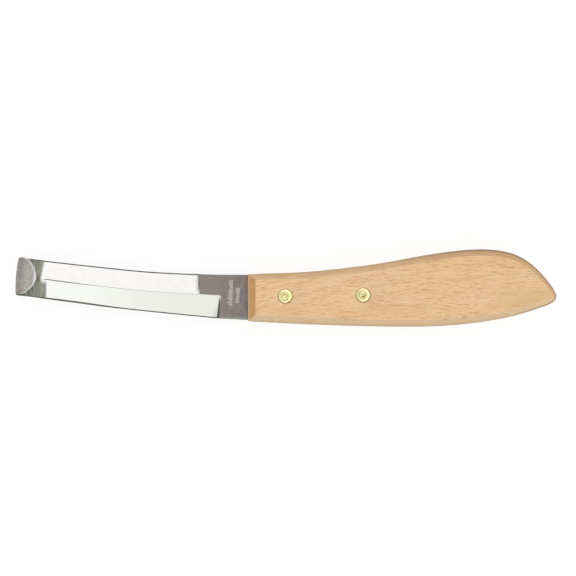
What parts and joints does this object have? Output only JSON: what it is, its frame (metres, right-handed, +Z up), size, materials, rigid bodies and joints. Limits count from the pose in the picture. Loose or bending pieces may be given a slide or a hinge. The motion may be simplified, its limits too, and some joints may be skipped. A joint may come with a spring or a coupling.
{
  "type": "hoof knife",
  "caption": "Hoof knife with a rolled hook tip, a slim double-edged blade and a riveted one-piece wooden handle.",
  "frame": {"origin": "on the flat back face of the handle, midway between the two rivets", "axes": "+X along the knife to the butt, +Y across the width towards the upper cutting edge, +Z up from the back face to the side the hook rolls towards"},
  "size_m": [0.225, 0.0323, 0.0218],
  "materials": {
    "blade_steel": "polished bevels, satin root",
    "beech": "smooth, light varnish",
    "rivet_brass": "peened and wiped"
  },
  "bodies": {
    "root": {"blade": "blade_steel", "handle": "beech", "front_washer": "rivet_brass", "front_rivet": "rivet_brass", "rear_washer": "rivet_brass", "rear_rivet": "rivet_brass"}
  },
  "joints": []
}
